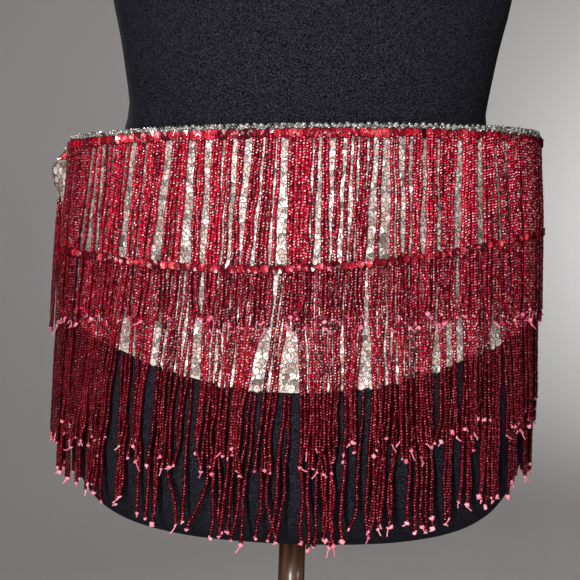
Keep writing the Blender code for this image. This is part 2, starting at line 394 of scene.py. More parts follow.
def speckle_group():
    """A fine speckle between two colours, with a knitted or woven height."""
    colour = "NodeSocketColor"
    number = "NodeSocketFloat"
    group, given, result = start_group(
        "cloth speckle",
        [
            ("Ground", colour, (0.1, 0.1, 0.1, 1)),
            ("Fleck", colour, (0.2, 0.2, 0.2, 1)),
            ("Fleck scale", number, 900.0),
            ("Thread scale", number, 500.0),
        ],
        [("Colour", colour), ("Height", number)],
    )
    place = own_space(group)
    fleck = noise(group, place, 900.0)
    group.links.new(given.outputs["Fleck scale"], fleck.inputs["Scale"])
    flecks = ramp(group, fleck.outputs["Fac"], [(0.45, (0, 0, 0, 1)), (0.72, (1, 1, 1, 1))])
    speckled = mix_colours(group, flecks, given.outputs["Ground"], given.outputs["Fleck"])
    group.links.new(speckled, result.inputs["Colour"])
    waves = []
    for way in ("Z", "X"):
        wave = node(group, "ShaderNodeTexWave", wave_type="BANDS", bands_direction=way)
        wave.inputs["Distortion"].default_value = 1.2
        group.links.new(place, wave.inputs["Vector"])
        group.links.new(given.outputs["Thread scale"], wave.inputs["Scale"])
        waves.append(wave.outputs["Fac"])
    crossed = reckon(group, "MULTIPLY", *waves)
    raised = reckon(group, "ADD", crossed, fleck.outputs["Fac"])
    group.links.new(raised, result.inputs["Height"])
    return group


OWN_SHADE = own_shade_group()
SPECKLE = speckle_group()
print("node groups:", OWN_SHADE.name, "and", SPECKLE.name)

# %% [markdown]
# ## Finishes of glass, plastic and metal
#
# Red seed beads are clear glass: over the silver ground they light up, and over the black jersey they
# look like dark wine. Each one gathers light in a small spark on its outer side. Real glass in every bead
# would be slow and grainy to render, so that light is painted into the colour: a plain shade and a lit
# copy of it are mixed by the glow, the painted light from behind, and the spark is a painted highlight.
# A clear coat gives the bead its gloss.
# Sequins are thin plastic with a metal look, each a shade of its own, with a dark stitch hole; painted
# shade darkens their rims, their pressed rings and spots on them.

# %% Bead and sequin finishes
def start_finish(name, roughness, metallic=0.0, coat=0.0, specular=0.5, coat_roughness=0.06):
    finish = bpy.data.materials.new(name)
    finish.use_nodes = True
    shader = finish.node_tree.nodes["Principled BSDF"]
    shader.inputs["Roughness"].default_value = roughness
    shader.inputs["Metallic"].default_value = metallic
    shader.inputs["Coat Weight"].default_value = coat
    shader.inputs["Coat Roughness"].default_value = coat_roughness
    shader.inputs["Specular IOR Level"].default_value = specular
    return finish, finish.node_tree, shader


def place_group(tree, group, **values):
    placed = node(tree, "ShaderNodeGroup", node_tree=group)
    for label, value in values.items():
        placed.inputs[label.replace("_", " ").capitalize()].default_value = value
    return placed


Shades = namedtuple("Shades", "deep bright spark")


def glassy_finish(name, plain, over_light, **surface):
    finish, tree, shader = start_finish(name, **surface)
    colours = {part: (*colour, 1) for part, colour in plain._asdict().items()}
    for part, colour in over_light._asdict().items():
        colours[part + "_over_light"] = (*colour, 1)
    shade = place_group(tree, OWN_SHADE, **colours)
    tree.links.new(shade.outputs["Colour"], shader.inputs["Base Color"])
    return finish


# Plain shades for beads over black and a lit copy for beads over light, mixed by the painted glow; the spark
# colours are painted highlights
red_glass = glassy_finish(
    "red bead glass",
    Shades((0.030, 0.0000, 0.0020), (0.130, 0.0002, 0.0065), (0.40, 0.070, 0.095)),
    Shades((0.090, 0.0000, 0.0050), (0.540, 0.0055, 0.0330), (1.00, 0.62, 0.64)),
    roughness=0.28,
    metallic=0.60,
    coat=0.10,
    coat_roughness=0.15,
    specular=0.15,
)
# Shades of the silver-lined beads; the spark colour is a painted highlight
SILVER_LINED = Shades((0.004, 0.004, 0.004), (0.36, 0.345, 0.32), (1.00, 0.97, 0.92))
silver_glass = glassy_finish(
    "silver lined bead glass", SILVER_LINED, SILVER_LINED, roughness=0.25, metallic=0.35, coat=0.4
)
print("bead finishes:", red_glass.name, silver_glass.name)

# %% Sequin finishes
# How much of its shade a sequin shows, from its rim over its pressed rings to its stitch hole: painted shade,
# a dark rim for the shadow at its edge and darker rings for its pressed relief
SEQUIN_RING_SHADE = (
    (0.00, 0.05),
    (0.15, 0.12),
    (0.24, 1.00),
    (0.42, 0.95),
    (0.49, 0.40),
    (0.57, 1.00),
    (0.80, 0.90),
    (0.88, 0.20),
)


def sequin_finish(name, shades, dark, **surface):
    """Shades picked by the tone, with a stitch hole and painted shade in rings by the hub mark: a dark rim
    for the shadow at its edge and darker rings for its pressed relief. Dark spots of painted shade, for the
    shadows between overlapping sequins, come from a dent noise that also bumps the surface."""
    finish, tree, shader = start_finish(name, **surface)
    shade = ramp(tree, mark(tree, "tone"), [(place, (*colour, 1)) for place, colour in shades])
    ring_shade_stops = [(place, (share, share, share, 1)) for place, share in SEQUIN_RING_SHADE]
    rings = ramp(tree, mark(tree, "hub"), ring_shade_stops)
    dents = noise(tree, own_space(tree), 850.0, 3.0).outputs["Fac"]
    # Painted shade: dark spots on the sequins for the shadows between them
    painted_spot_shade = ramp(tree, dents, [(0.37, (0.15, 0.15, 0.15, 1)), (0.48, (1, 1, 1, 1))])
    with_spot_shade = mix_colours(tree, painted_spot_shade, (*dark, 1), shade)
    tree.links.new(mix_colours(tree, rings, (*dark, 1), with_spot_shade), shader.inputs["Base Color"])
    add_relief(tree, shader, dents, 0.3, 0.0006)
    return finish


# Shades of the silver sequins by tone: partly their own mixed tints, and partly painted light: the pink stop
# is a painted reflection of the red beads, the darkest stops are painted shade and the palest are painted
# glints
silver_sequin = sequin_finish(
    "silver cup sequin",
    (
        (0.00, (0.11, 0.09, 0.08)),
        (0.20, (0.32, 0.26, 0.23)),
        (0.40, (0.60, 0.35, 0.35)),
        (0.58, (0.74, 0.61, 0.51)),
        (0.76, (0.58, 0.50, 0.50)),
        (1.00, (0.98, 0.89, 0.84)),
    ),
    (0.08, 0.06, 0.055),
    roughness=0.40,
    metallic=0.35,
    coat=0.15,
)
red_sequin = sequin_finish(
    "red cup sequin",
    (
        (0.00, (0.10, 0.001, 0.006)),
        (0.35, (0.38, 0.004, 0.022)),
        (0.65, (0.74, 0.022, 0.055)),
        (1.00, (1.00, 0.10, 0.11)),
    ),
    (0.035, 0.0004, 0.002),
    roughness=0.26,
    metallic=0.45,
    coat=0.3,
)
print("sequin finishes:", silver_sequin.name, "and", red_sequin.name)

# %% [markdown]
# ## Finishes of cloth, thread and wood
#
# The ground of the belt is ivory cloth, the dress form wears a fine black jersey, and each strand ends in
# a tail of pink thread. All three take the shared speckle and its height as a bump. The wood is dark and
# polished, with a grain that is long in one direction: a noise squeezed along the pole.

# %% Cloth, thread and wood finishes
def cloth_finish(name, ground, fleck, fleck_scale, thread_scale, roughness, bump, specular=0.3):
    finish, tree, shader = start_finish(name, roughness, specular=specular)
    scales = {"fleck_scale": fleck_scale, "thread_scale": thread_scale}
    cloth = place_group(tree, SPECKLE, ground=(*ground, 1), fleck=(*fleck, 1), **scales)
    tree.links.new(cloth.outputs["Colour"], shader.inputs["Base Color"])
    add_relief(tree, shader, cloth.outputs["Height"], bump, 0.0005)
    return finish


def thread_finish(name, deep, pale):
    """Twisted thread: the colour of each end by its tone, from deep to pale."""
    finish, tree, shader = start_finish(name, 0.6, specular=0.3)
    shade = place_group(tree, OWN_SHADE, deep=(*deep, 1), bright=(*pale, 1))
    tree.links.new(shade.outputs["Colour"], shader.inputs["Base Color"])
    twist = place_group(tree, SPECKLE, fleck_scale=1500.0, thread_scale=900.0)
    add_relief(tree, shader, twist.outputs["Height"], 0.4, 0.0005)
    return finish


def wood_finish(name, dark, light, roughness):
    finish, tree, shader = start_finish(name, roughness, coat=0.35)
    squeeze = node(tree, "ShaderNodeMapping")
    squeeze.inputs["Scale"].default_value = (1.0, 1.0, 0.06)
    tree.links.new(own_space(tree), squeeze.inputs["Vector"])
    grain = noise(tree, squeeze.outputs["Vector"], 240.0, 6.0).outputs["Fac"]
    streaks = ramp(tree, grain, [(0.35, (*dark, 1)), (0.68, (*light, 1))])
    tree.links.new(streaks, shader.inputs["Base Color"])
    add_relief(tree, shader, grain, 0.25, 0.0004)
    return finish


ivory_cloth = cloth_finish(
    "ivory ground cloth", (0.55, 0.50, 0.43), (0.70, 0.66, 0.58), 700.0, 420.0, 0.7, 0.5
)
black_jersey = cloth_finish(
    "black jersey", (0.0008, 0.0008, 0.0018), (0.0330, 0.0320, 0.0460), 1300.0, 330.0, 0.9, 0.4, specular=0.06
)
pink_thread = thread_finish("pink thread", (0.38, 0.018, 0.085), (0.95, 0.38, 0.46))
red_tape = cloth_finish("red tape", (0.16, 0.002, 0.010), (0.30, 0.006, 0.018), 900.0, 500.0, 0.75, 0.5)
dark_wood = wood_finish("dark turned wood", (0.030, 0.013, 0.008), (0.105, 0.047, 0.026), 0.36)
print("cloth and wood finishes:", ivory_cloth.name, black_jersey.name, pink_thread.name, dark_wood.name)

# %% [markdown]
# ## The cloth panels
#
# The yoke is two cut pieces of cloth. A thin wall with a face on each side could come from a Solidify
# modifier, but then the underlap and the top edge would need care, so each wall is lofted directly: one
# closed section at each of many angles, down the outside and up the inside.

# %% Yoke panels
PANEL_STATIONS = 168
PANEL_LEVELS = 10


def yoke_panel(name, ends, replaced):
    angles = np.linspace(ends[0], ends[1], PANEL_STATIONS)
    section = band(
        angles, row_height(TOP_EDGE, angles), row_height(LOWER_EDGE, angles), PANEL_LEVELS, -CLOTH, 0.0
    )
    made = add_piece(
        name, section, loft_faces(PANEL_STATIONS, 2 * PANEL_LEVELS), ivory_cloth, "sequin_cloth"
    )
    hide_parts(replaced)
    return made


cloth_ends = {"front": FRONT_ENDS, "back": (BACK_ENDS[0], UNDERLAP_END)}
yoke_cloth = {side: yoke_panel(f"yoke_cloth_{side}", cloth_ends[side], f"yoke_{side}") for side in PANELS}

# %% [markdown]
# ## Silver sequins
#
# The ground is covered with small cup sequins that overlap like scales, sewn on by hand, so their rows
# wander and each one leans its own way. A cup sequin is pressed into a shallow cone with a few facets,
# so eight triangles are enough for one: its stitch hole, and its rings as painted shade, come from the
# finish. It is copied to every place of a jittered grid with array arithmetic, a few thousand of them in an
# instant.

# %% Sequin maker
SEQUIN_SIDES = 8
SEQUIN_RADIUS = 0.0032
rng = np.random.default_rng(20)


def sequin_piece(name, centres, facing, radius, cup, tone, finish, slot, smooth=True):
    """One piece of cup sequins that face a direction each. A hub mark is 1 in the middle of a sequin and
    0 on its rim."""
    count = len(centres)
    across = unit(along_from(facing))
    upward = np.cross(facing, across)
    turn = rng.uniform(0, pi, count)[:, None] + np.arange(SEQUIN_SIDES) * 2 * pi / SEQUIN_SIDES
    ring = np.cos(turn)[..., None] * across[:, None] + np.sin(turn)[..., None] * upward[:, None]
    rim = centres[:, None] + ring * radius[:, None, None] + facing[:, None] * cup
    points = np.concatenate([centres[:, None], rim], axis=1)
    side = np.arange(SEQUIN_SIDES)
    fan = np.stack([np.zeros_like(side), 1 + side, 1 + (side + 1) % SEQUIN_SIDES], axis=-1)
    size = 1 + SEQUIN_SIDES
    start = np.arange(count)[:, None, None] * size
    hubs = np.zeros((count, size))
    hubs[:, 0] = 1.0
    tones = np.repeat(tone[:, None], size, axis=1)
    print(f"{name}: {count} sequins")
    faces = [(start + fan).reshape(-1, 3)]
    return add_piece(name, points, faces, finish, slot, smooth, tone=tones, hub=hubs)


def cloth_normal(angle, height):
    """The direction straight out of the cloth, also where it puckers."""
    step = 0.0002
    along = belt_points(angle + step, height, 0.0) - belt_points(angle - step, height, 0.0)
    upward = belt_points(angle, height + step, 0.0) - belt_points(angle, height - step, 0.0)
    return unit(np.cross(along, upward))


def leaning(angle, height, sideways, upwards):
    """Directions out of the cloth, leaning so far along it and up it."""
    out = cloth_normal(angle, height)
    return unit(out + along_from(out) * np.tan(sideways)[:, None] + UP * np.tan(upwards)[:, None])


# %% Sequins on both panels
SEQUIN_PITCH = 0.0039
SEQUIN_ROW_PITCH = 0.0036
SEQUIN_CUP = 0.0005
SEQUIN_LIFT = 0.0005
SEQUIN_PILE = 0.0003
SEQUIN_LEAN = radians(14.0)
SEQUIN_DROOP = radians(-8.0)
EDGE_MARGIN = 0.0022
LOW_MARGIN = 0.0008


def panel_sequins(name, ends):
    columns = int(cloth_length(ends)[0] / SEQUIN_PITCH)
    rows = int((row_height(TOP_EDGE, 0.0) - row_height(LOWER_EDGE, 0.0)) / SEQUIN_ROW_PITCH) + 1
    column, row = np.meshgrid(np.arange(columns), np.arange(rows), indexing="ij")
    share = (column + 0.5 + 0.5 * (row % 2 - 0.5)).ravel() / columns
    share = np.clip(share + rng.uniform(-0.28, 0.28, share.size) / columns, 0.002, 0.998)
    angle = angle_at(ends, share)
    drop = (row.ravel() + rng.uniform(-0.25, 0.25, share.size)) * SEQUIN_ROW_PITCH
    height = row_height(TOP_EDGE, angle) - EDGE_MARGIN - np.maximum(drop, 0.0)
    kept = height > row_height(LOWER_EDGE, angle) + LOW_MARGIN
    angle, height = angle[kept], height[kept]
    count = len(angle)
    centres = belt_points(angle, height, SEQUIN_LIFT + rng.uniform(0.0, SEQUIN_PILE, count))
    sideways = rng.normal(0.0, SEQUIN_LEAN / 2, count)
    upwards = rng.normal(SEQUIN_DROOP, SEQUIN_LEAN / 2, count)
    facing = leaning(angle, height, sideways, upwards)
    radius = SEQUIN_RADIUS * rng.choice([0.85, 1.0, 1.12], count, p=[0.25, 0.55, 0.20])
    tone = np.clip(rng.beta(1.7, 1.4, count), 0.0, 1.0)
    return sequin_piece(name, centres, facing, radius, SEQUIN_CUP, tone, silver_sequin, "sequin_cloth")


silver_sequins = {side: panel_sequins(f"silver_sequins_{side}", ends) for side, ends in PANELS.items()}

# %% [markdown]
# ## Header tapes and red sequin rows
#
# The two upper fringes hang from narrow tapes that are sewn round the band. A row of red cup sequins
# hides each tape, each one tucked a little under the next. The first row is sewn on its tape. The second
# one has smaller sequins and lies on the strands of the first fringe. So a tape is a thin band like the
# cloth, and a row is the sequin maker again, with a steady lean along the belt.

# %% Tapes and rows
TAPE_HEIGHT = 0.0046
TAPE_INSIDE = 0.0004
TAPE_OUTSIDE = 0.0013
ROW_DROP = 0.0022
RED_PITCH = 0.0054
RED_CUP = 0.0010
RedRow = namedtuple("RedRow", "row radius out lean tone")
RED_ROWS = {
    "top": RedRow(TOP_EDGE, 0.0040, 0.0022, 0.26, 0.42),
    "middle": RedRow(MIDDLE_ROW, 0.0032, 0.0054, 0.20, 0.36),
}


def header_tape(name, row, ends):
    angles = np.linspace(ends[0], ends[1], PANEL_STATIONS)
    top = row_height(row, angles) - SEAM_GAP
    section = band(angles, top, top - TAPE_HEIGHT, 2, TAPE_INSIDE, TAPE_OUTSIDE)
    return add_piece(name, section, loft_faces(PANEL_STATIONS, 4), red_tape, "sequin_cloth")


def red_row(name, red, ends):
    count = int(cloth_length(ends)[0] / RED_PITCH)
    share = (np.arange(count) + 0.5 + rng.uniform(-0.12, 0.12, count)) / count
    angle = angle_at(ends, share)
    height = row_height(red.row, angle) - ROW_DROP + rng.uniform(-0.0004, 0.0004, count)
    centres = belt_points(angle, height, red.out + rng.uniform(-0.0002, 0.0002, count))
    facing = leaning(angle, height, rng.normal(red.lean, 0.12, count), rng.normal(0.04, 0.18, count))
    radius = red.radius * rng.uniform(0.92, 1.08, count)
    tone = np.clip(rng.normal(red.tone, 0.28, count), 0.0, 1.0)
    return sequin_piece(name, centres, facing, radius, RED_CUP, tone, red_sequin, "red_beads", smooth=False)


row_pieces = {side: [] for side in PANELS}
for side, ends in PANELS.items():
    for row_name, red in RED_ROWS.items():
        row_pieces[side].append(header_tape(f"header_tape_{row_name}_{side}", red.row, ends))
        row_pieces[side].append(red_row(f"red_sequins_{row_name}_{side}", red, ends))

# %% [markdown]
# ## Beads
#
# A seed bead is a short rounded barrel. With a point at each end and two rings of five it has twenty
# triangles, which is enough for its highlight and keeps forty thousand of them within reach. All the
# beads of a piece are made in one go from their middles, their directions and which way is out.

# %% Bead maker
BEAD_SIDES = 5
BARREL_SHARE = 0.84
# How much of its tone a bead keeps at its ends: painted shade in the grooves where neighbouring beads meet
PAINTED_END_SHADE = 0.4


def square_to(direction, out):
    """The direction nearest to outwards that is square to a given one."""
    return unit(out - direction * (out * direction).sum(axis=-1, keepdims=True))


def beads(centres, direction, out, radius, half_length, spin):
    """Points and faces of barrels that are threaded along a direction each."""
    count = len(centres)
    across = square_to(direction, out)
    third = np.cross(direction, across)
    turn = spin[:, None] + np.arange(BEAD_SIDES) * 2 * pi / BEAD_SIDES
    ring = np.cos(turn)[..., None] * across[:, None] + np.sin(turn)[..., None] * third[:, None]
    ring = ring * radius[:, None, None]
    rise = (direction * half_length)[:, None]
    middle = centres[:, None]
    low_ring = middle - rise * BARREL_SHARE + ring
    high_ring = middle + rise * BARREL_SHARE + ring
    points = np.concatenate([middle - rise, low_ring, high_ring, middle + rise], axis=1)
    side = np.arange(BEAD_SIDES)
    after = (side + 1) % BEAD_SIDES
    upper = 1 + BEAD_SIDES
    last = np.full(BEAD_SIDES, 1 + 2 * BEAD_SIDES)
    foot = np.stack([np.zeros_like(side), 1 + after, 1 + side], axis=-1)
    head = np.stack([last, upper + side, upper + after], axis=-1)
    barrel = np.stack([1 + side, 1 + after, upper + after, upper + side], axis=-1)
    size = 2 + 2 * BEAD_SIDES
    start = np.arange(count)[:, None, None] * size
    faces = [(start + np.concatenate([foot, head])).reshape(-1, 3), (start + barrel).reshape(-1, 4)]
    return points, faces, size


def bead_marks(tone, spark):
    """Tones and sparks on each point of each bead: painted shade darkens its ends, in the grooves between
    neighbouring beads, and a painted highlight sits at one point of its upper ring."""
    tones = tone[:, None] * np.array([PAINTED_END_SHADE, *np.ones(2 * BEAD_SIDES), PAINTED_END_SHADE])
    sparks = np.zeros_like(tones)
    sparks[:, 1] = spark
    return {"tone": tones, "spark": sparks}


# %% [markdown]
# ## Silver bead edging
#
# The top edge is finished with little picots of silver-lined beads: five beads to a loop, with one line
# of loops along the outside of the edge and a second one behind it, half a loop further on.

# %% Edging
PICOT_PITCH = 0.0050
EDGING_BEAD = 0.0013
PICOT = ((-0.40, 0.0008), (-0.24, 0.0026), (0.0, 0.0038), (0.24, 0.0026), (0.0, 0.0014))
EDGING_LINES = ((0.0006, 0.0), (-0.0014, 0.5))


def bead_edging(name, ends, replaced):
    loops = int(cloth_length(ends)[0] / PICOT_PITCH)
    angles, heights, outs, tones = [], [], [], []
    for outward, offset in EDGING_LINES:
        for along, lift in PICOT:
            loop = np.arange(loops)
            share = (loop + 0.5 + 0.4 * (offset - 0.25) + along + rng.uniform(-0.08, 0.08, loops)) / loops
            angle = angle_at(ends, np.clip(share, 0.001, 0.999))
            angles.append(angle)
            heights.append(row_height(TOP_EDGE, angle) + lift + rng.uniform(-0.0004, 0.0006, loops))
            outs.append(np.full(loops, outward) + rng.uniform(-0.0003, 0.0003, loops))
            tones.append(np.clip(rng.beta(1.4, 1.2, loops), 0.0, 1.0))
    angle, height = np.concatenate(angles), np.concatenate(heights)
    out, tone = np.concatenate(outs), np.concatenate(tones)
    count = len(angle)
    centres = belt_points(angle, height, out)
    normals = outward_from(angle)
    direction = unit(along_from(normals) + rng.normal(0.0, 0.5, (count, 3)) * np.array([0.3, 0.3, 1.0]))
    radius = EDGING_BEAD * rng.uniform(0.9, 1.1, count)
    spin = rng.uniform(0, pi, count)
    points, faces, size = beads(centres, direction, normals, radius, EDGING_BEAD, spin)
    marks = bead_marks(tone, rng.uniform(0.5, 1.0, count))
    made = add_piece(name, points, faces, silver_glass, "silver_beads", glow=np.zeros(count * size), **marks)
    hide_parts(replaced)
    return made


edgings = {side: bead_edging(f"edging_beads_{side}", ends, f"edging_{side}") for side, ends in PANELS.items()}

# %% [markdown]
# ## Fringes
#
# A strand is a thread full of beads that hangs from its tape under its own weight. It starts flat on the
# cloth, is carried out over the row below it, and then hangs straight. On the tape of the first fringe the
# strands are spread out unevenly. On the others they stand in small bunches with gaps between them, and
# a bunch leans as one and narrows towards its end. A smooth sideways drift along the belt pulls
# neighbouring bunches together further down. Each strand also wavers and kinks a little at its end.
# In a few places the maker has tied neighbouring strands together with one knot.

# %% Sizes of the fringes
Fringe = namedtuple(
    "Fringe",
    "name row drop header_height root_out hang_out length side_extra uneven"
    " fan gather gaps gap_steps strands",
)
STRIP_HEIGHT = 0.005
TOP_FRINGE = Fringe(
    "top", TOP_EDGE, 0.0, STRIP_HEIGHT, 0.0019, 0.0038, 0.130, -0.004, 0.0050,
    2.2, 0.05, 0.40, (0.4, 2.5), 126,
)
MIDDLE_FRINGE = Fringe(
    "middle", MIDDLE_ROW, 0.0, STRIP_HEIGHT, 0.0019, 0.0014, 0.131, 0.0, 0.0105,
    4.6, 0.26, 0.17, (0.1, 1.5), 127,
)
LOW_FRINGE = Fringe(
    "low", LOWER_EDGE, 0.0003, 0.003, -0.0007, -0.0008, 0.100, 0.010, 0.0055,
    2.6, 0.12, 0.40, (0.9, 3.2), 79,
)
FRINGES = (TOP_FRINGE, MIDDLE_FRINGE, LOW_FRINGE)
SIDE_SHARES = {"front": 1.0, "back": 0.80}
BEAD_PITCH = 0.00195
BEAD_RADIUS = 0.00155
CROWDED_STEPS = (0.0, 0.15)
Drift = namedtuple("Drift", "wavelength reach")
DRIFTS = (Drift(0.071, 0.0026), Drift(0.037, 0.0016), Drift(0.019, 0.0005))
DRIFT_MARGIN = 0.012
Tie = namedtuple("Tie", "fringe angle neighbours")
TIES = (
    Tie("low", radians(-27.0), 1),
    Tie("low", radians(-4.0), 1),
    Tie("middle", radians(31.0), 1),
    Tie("low", radians(158.0), 1),
    Tie("middle", radians(205.0), 1),
)
TIE_PULL = 0.85
PARTED_FROM = radians(252.0)
PARTED_SHARE = 0.8
PARTED_FALLS = (0.17, 0.38)
Knot = namedtuple("Knot", "size tone shown")
# The knot tone by fringe is painted light: the lower fringes' knots are paler for the brighter light on them
KNOTS = {"top": Knot(1.15, 0.32, 0.35), "middle": Knot(1.0, 0.42, 0.8), "low": Knot(1.20, 0.58, 1.0)}
# How much painted glow the strands keep where a second layer of strands lies behind them
LIGHT_THROUGH = {"top": 0.42, "middle": 0.62, "low": 0.62}


def parted(fringe, share, root_angle, ends):
    """How far along the belt a strand starts from its place: near the closure the strands are swept back,
    which leaves a bare patch of the silver ground below the corner of the back panel."""
    if fringe is not TOP_FRINGE or root_angle < PARTED_FROM:
        return 0.0
    total, along, angles = cloth_length(ends)
    return PARTED_SHARE * (float(np.interp(PARTED_FROM, angles, along)) - share * total)


def bunched(count, gaps, gap_steps):
    """Shares of the way along a tape for strands in touching bunches, and the bunch of each strand."""
    gap = rng.random(count) < gaps
    apart = 1.0 + np.where(gap, rng.uniform(*gap_steps, count), rng.uniform(*CROWDED_STEPS, count))
    apart[0] = 1.0
    return (np.cumsum(apart) - 0.5) / apart.sum(), np.cumsum(gap)


def tied(fringe, shares, angles):
    """How far along the belt the end of each strand is pulled to the knot of its tie."""
    pulled = np.zeros_like(shares)
    for tie in TIES:
        if tie.fringe == fringe.name and angles[0] < tie.angle < angles[-1]:
            middle = int(np.abs(angles - tie.angle).argmin())
            for strand in range(middle - tie.neighbours, middle + tie.neighbours + 1):
                pulled[strand] = TIE_PULL * (shares[middle] - shares[strand])
    return pulled


def drift(along, length, phases):
    """How far sideways a strand is pulled into a bunch, by how far along the belt it hangs."""
    pull = np.zeros_like(along)
    for part, phase in zip(DRIFTS, phases):
        pull = pull + part.reach * np.sin(2 * pi * along / part.wavelength + phase)
    room = np.minimum(along, length - along)
    return pull * np.clip(room / DRIFT_MARGIN, 0.0, 1.0)


def painted_glow_behind(fringe, angle, height):
    """The painted glow: how much light coming back through the beads is painted into their colour: much over
    the silver ground, less through a second layer of strands and where they crowd at the sides, and nothing
    over the black jersey."""
    middle, low = row_height(MIDDLE_ROW, angle), row_height(LOWER_EDGE, angle)
    over_ground = ease(low - 0.002, low + 0.004, height)
    above_middle = ease(middle - 0.006, middle + 0.002, height)
    crowded = 1.0 - 0.5 * ease(0.86, 1.0, np.abs(np.sin(angle)))
    through = LIGHT_THROUGH[fringe.name]
    return over_ground * crowded * (through + (1.0 - through) * above_middle)


# %% Hanging the strands
Swing = namedtuple("Swing", "reach wavelength phase kink lift")
ALL_LEAN = -1.0
BUNCH_LEAN = 1.1
STRAND_LEAN = 0.55
BACK_FAN = -0.3
BUNCHED_BY = 0.8
SWINGING_BY = 0.3
TIED_FROM = 0.60
KINKED_FROM = 0.86


def strand_path(fringe, share, length, ends, pull, tie, lean, swing):
    """Middles of the beads of one strand, from its root down, with their angles and heights."""
    root_angle = angle_at(ends, share)
    root = row_height(fringe.row, root_angle) - fringe.drop - fringe.header_height / 2
    total = fringe.header_height / 2 + fringe.length + fringe.side_extra * sin(root_angle) ** 2
    if tie == 0.0:
        total = total + rng.uniform(-fringe.uneven, fringe.uneven)
    down = (np.arange(int(total / BEAD_PITCH)) + rng.uniform(0.0, 1.0)) * BEAD_PITCH
    fall = down / total
    wave = np.sin(2 * pi * (down / swing.wavelength + swing.phase))
    sideways = tan(lean) * down + pull * ease(0.0, BUNCHED_BY, fall)
    sideways = sideways + parted(fringe, share, root_angle, ends) * (1.0 - ease(*PARTED_FALLS, fall))
    sideways = sideways + swing.reach * wave * ease(0.0, SWINGING_BY, fall)
    sideways = sideways + swing.kink * ease(KINKED_FROM, 1.0, fall)
    sideways = sideways + tie * length * ease(TIED_FROM, 1.0, fall)
    angle = angle_at(ends, np.clip(share + sideways / length, 0.0, 1.0))
    height = root - down
    spread = ease(0.0, 0.012, down)
    if fringe is TOP_FRINGE:
        spread = ease(root, row_height(MIDDLE_ROW, root_angle) + 0.004, height)
    out = fringe.root_out + (fringe.hang_out - fringe.root_out) * spread + swing.lift * fall
    return belt_points(angle, height, out, hung_from=root), angle, height


def fringe_strands(fringe, side, ends):
    length = cloth_length(ends)[0]
    count = round(fringe.strands * SIDE_SHARES[side])
    shares, bunch = bunched(count, fringe.gaps, fringe.gap_steps)
    middles = np.array([shares[bunch == number].mean() for number in bunch])
    pulls = drift(shares * length, length, rng.uniform(0, 2 * pi, len(DRIFTS)))
    pulls = pulls - fringe.gather * (shares - middles) * length
    angles = angle_at(ends, shares)
    ties = tied(fringe, shares, angles)
    fan = fringe.fan * np.sin(angles) * (1.0 if side == "front" else BACK_FAN)
    bunch_leans = rng.normal(0.0, BUNCH_LEAN, count)[bunch]
    leans = np.radians(ALL_LEAN + fan + bunch_leans + rng.normal(0.0, STRAND_LEAN, count))
    strands = []
    for share, pull, tie, lean in zip(shares, pulls, ties, leans):
        swing = Swing(
            reach=rng.uniform(0.0002, 0.0008),
            wavelength=rng.uniform(0.030, 0.070),
            phase=rng.uniform(0.0, 1.0),
            kink=rng.normal(0.0, 0.0016),
            lift=rng.uniform(0.0, 0.0013),
        )
        strands.append(strand_path(fringe, share, length, ends, pull, tie, lean, swing))
    return strands


def fringe_piece(fringe, side, strands):
    paths, strand_angles, strand_heights = zip(*strands)
    centres = np.concatenate(paths)
    angles = np.concatenate(strand_angles)
    directions = np.concatenate([unit(np.gradient(path, axis=0)) for path in paths])
    strand_tone = np.concatenate([np.full(len(path), rng.normal(0.44, 0.18)) for path in paths])
    count = len(centres)
    tone = np.clip(strand_tone + rng.normal(0.0, 0.24, count), 0.0, 1.0)
    # Painted light on each bead: its glow from behind, and its spark, a painted highlight
    glow = painted_glow_behind(fringe, angles, np.concatenate(strand_heights))
    radius = BEAD_RADIUS * rng.uniform(0.92, 1.06, count)
    spin = rng.normal(0.0, 0.45, count)
    points, faces, size = beads(centres, directions, outward_from(angles), radius, BEAD_PITCH / 2, spin)
    marks = bead_marks(tone, np.clip(rng.normal(0.88, 0.28, count), 0.0, 1.2))
    name = f"strands_{fringe.name}_{side}"
    made = add_piece(name, points, faces, red_glass, "red_beads", glow=np.repeat(glow, size), **marks)
    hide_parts(f"fringe_{fringe.name}_{side}")
    print(f"{name}: {len(strands)} strands, {count} beads")
    return made


strand_pieces = {side: [] for side in PANELS}
strand_ends = {side: [] for side in PANELS}
for side, ends in PANELS.items():
    for fringe in FRINGES:
        strands = fringe_strands(fringe, side, ends)
        strand_pieces[side].append(fringe_piece(fringe, side, strands))
        for path, angle, height in strands:
            strand_ends[side].append((path[-1], path[-1] - path[-3], angle[-1], KNOTS[fringe.name]))

# %% [markdown]
# ## Thread tails
#
# Each strand is finished with a knot of pink thread, and a few of its ends were left long. They stick out
# to all sides, some of them curled back. A tail is a thin tube along a short bent path, and its knot is
# one small barrel round the end of the last bead. The knots are largest and palest on the third fringe,
# their paleness painted light for the brighter light that falls there, and on the first fringe most of
# them have slipped up into the last bead.

# %% Tail maker
TAIL_SIDES = 4
TAIL_POINTS = 5
TAIL_RADIUS = 0.00045
TAIL_START = 0.0008
KNOT_PLACE = 0.0013
KNOT_RADIUS = 0.00115
KNOT_HALF_LENGTH = 0.0014
SLIPPED_SIZE = 0.45
LONG_SHARE = 0.24
LONG_TAIL = (0.005, 0.009)
SHORT_TAIL = (0.0015, 0.0040)


